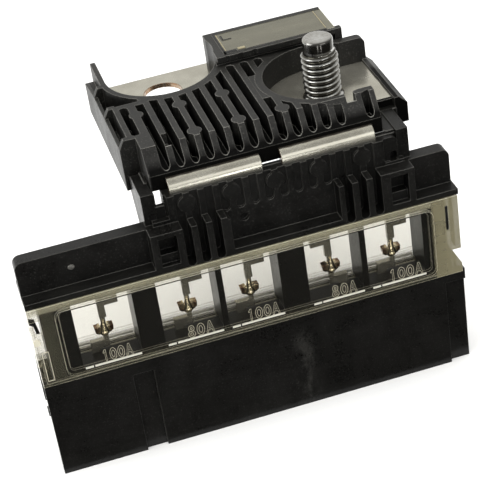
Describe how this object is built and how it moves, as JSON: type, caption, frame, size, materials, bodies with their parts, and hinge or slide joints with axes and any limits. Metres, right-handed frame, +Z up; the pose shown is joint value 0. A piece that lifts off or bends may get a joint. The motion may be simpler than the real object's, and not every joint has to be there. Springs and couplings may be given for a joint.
{
  "type": "battery fusible link block",
  "caption": "Fusible link block for a battery terminal: a bus plate with a hole and a stud over a windowed housing of fuse elements with plug sockets below.",
  "frame": {"origin": "centre of the battery terminal hole, on the underside of its plate", "axes": "+Z up along the hole, +X along the fuse window towards the stud, +Y away from the window"},
  "size_m": [0.0922, 0.0538, 0.0738],
  "materials": {
    "tinned_copper": "bright tin plate on copper alloy sheet",
    "zinc_steel": "bright zinc plate",
    "pellet_alloy": "tin alloy, darkened by heat",
    "black_resin": "moulded, fine matt texture",
    "clear_resin": "clear, slightly yellow, moulded"
  },
  "bodies": {
    "root": {"bus_bar": "tinned_copper", "stud": "zinc_steel", "main_pellet": "pellet_alloy", "upper_body": "black_resin", "main_fuse_cover": "clear_resin", "lower_body": "black_resin", "front_cover": "clear_resin", "rear_cover": "clear_resin", "tin_pellet_1": "pellet_alloy", "tin_pellet_2": "pellet_alloy", "tin_pellet_3": "pellet_alloy", "tin_pellet_4": "pellet_alloy", "tin_pellet_5": "pellet_alloy"}
  },
  "joints": []
}
